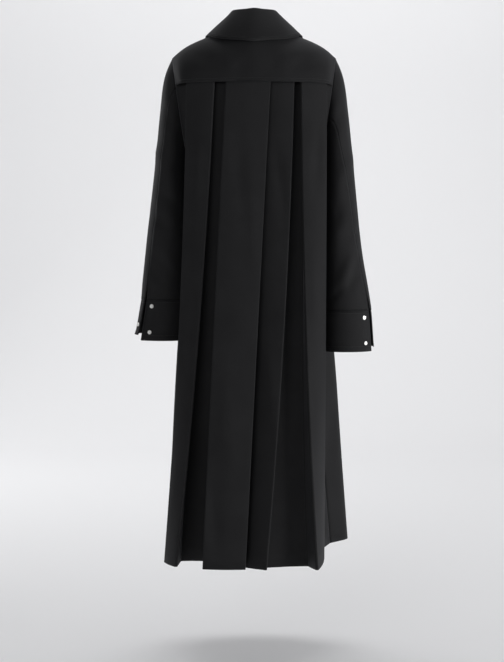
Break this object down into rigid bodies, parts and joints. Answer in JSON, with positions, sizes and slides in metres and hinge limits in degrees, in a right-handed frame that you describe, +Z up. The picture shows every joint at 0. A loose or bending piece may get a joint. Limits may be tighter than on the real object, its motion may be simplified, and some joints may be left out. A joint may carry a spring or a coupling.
{
  "type": "double-breasted coat",
  "caption": "Long oversized black coat with a wide turned-down collar, back yoke, deep pleated back, vented cuffs with snaps and an overlapped double-breasted front, in its worn form.",
  "frame": {"origin": "middle of the neck, level with the shoulders that carry the coat", "axes": "+Z up along the coat's length, front towards -Y, back towards +Y, the wearer's left towards +X"},
  "size_m": [0.5879, 0.4572, 1.3288],
  "materials": {
    "cloth": "smooth fine twill, matt with a faint sheen",
    "snap": "polished silver-coloured caps"
  },
  "bodies": {
    "root": {"back_yoke": "cloth", "back_panel": "cloth", "front_left": "cloth", "front_right": "cloth", "lapel_left": "cloth", "lapel_right": "cloth", "collar": "cloth", "sleeve_under_left": "cloth", "sleeve_under_right": "cloth", "sleeve_upper_left": "cloth", "sleeve_upper_right": "cloth", "cuff_left": "cloth", "cuff_right": "cloth", "snap_cuff_left_upper": "snap", "snap_cuff_left_lower": "snap", "snap_cuff_left_flap": "snap", "snap_cuff_right_upper": "snap", "snap_cuff_right_lower": "snap", "snap_front_left_1": "snap", "snap_front_left_2": "snap", "snap_front_left_3": "snap", "snap_front_left_4": "snap", "snap_front_right_1": "snap", "snap_front_right_2": "snap", "snap_front_right_3": "snap", "snap_front_right_4": "snap"}
  },
  "joints": []
}
